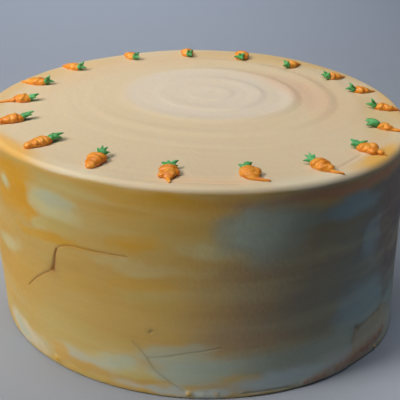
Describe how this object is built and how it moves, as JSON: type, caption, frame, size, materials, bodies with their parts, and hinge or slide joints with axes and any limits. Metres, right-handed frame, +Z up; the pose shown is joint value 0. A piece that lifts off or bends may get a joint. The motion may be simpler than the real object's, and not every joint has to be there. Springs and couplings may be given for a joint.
{
  "type": "carrot cake",
  "caption": "Tall round frosted cake, smoothed and marbled in cream and golden icing, with a ring of small piped icing carrots round the top.",
  "frame": {"origin": "middle of the flat underside", "axes": "+Z up through the cake; -Y is the front, the side that was seen"},
  "size_m": [0.2359, 0.2343, 0.1218],
  "materials": {
    "frosting": "satin",
    "root_icing": "satin",
    "leaf_icing": "satin"
  },
  "bodies": {
    "root": {"cake": "frosting", "root_01": "root_icing", "root_02": "root_icing", "root_03": "root_icing", "root_04": "root_icing", "root_05": "root_icing", "root_06": "root_icing", "root_07": "root_icing", "root_08": "root_icing", "root_09": "root_icing", "root_10": "root_icing", "root_11": "root_icing", "root_12": "root_icing", "root_13": "root_icing", "root_14": "root_icing", "root_15": "root_icing", "root_16": "root_icing", "root_17": "root_icing", "root_18": "root_icing", "leaves_01": "leaf_icing", "leaves_02": "leaf_icing", "leaves_03": "leaf_icing", "leaves_04": "leaf_icing", "leaves_05": "leaf_icing", "leaves_06": "leaf_icing", "leaves_07": "leaf_icing", "leaves_08": "leaf_icing", "leaves_09": "leaf_icing", "leaves_10": "leaf_icing", "leaves_11": "leaf_icing", "leaves_12": "leaf_icing", "leaves_13": "leaf_icing", "leaves_14": "leaf_icing", "leaves_15": "leaf_icing", "leaves_16": "leaf_icing", "leaves_17": "leaf_icing", "leaves_18": "leaf_icing"}
  },
  "joints": []
}
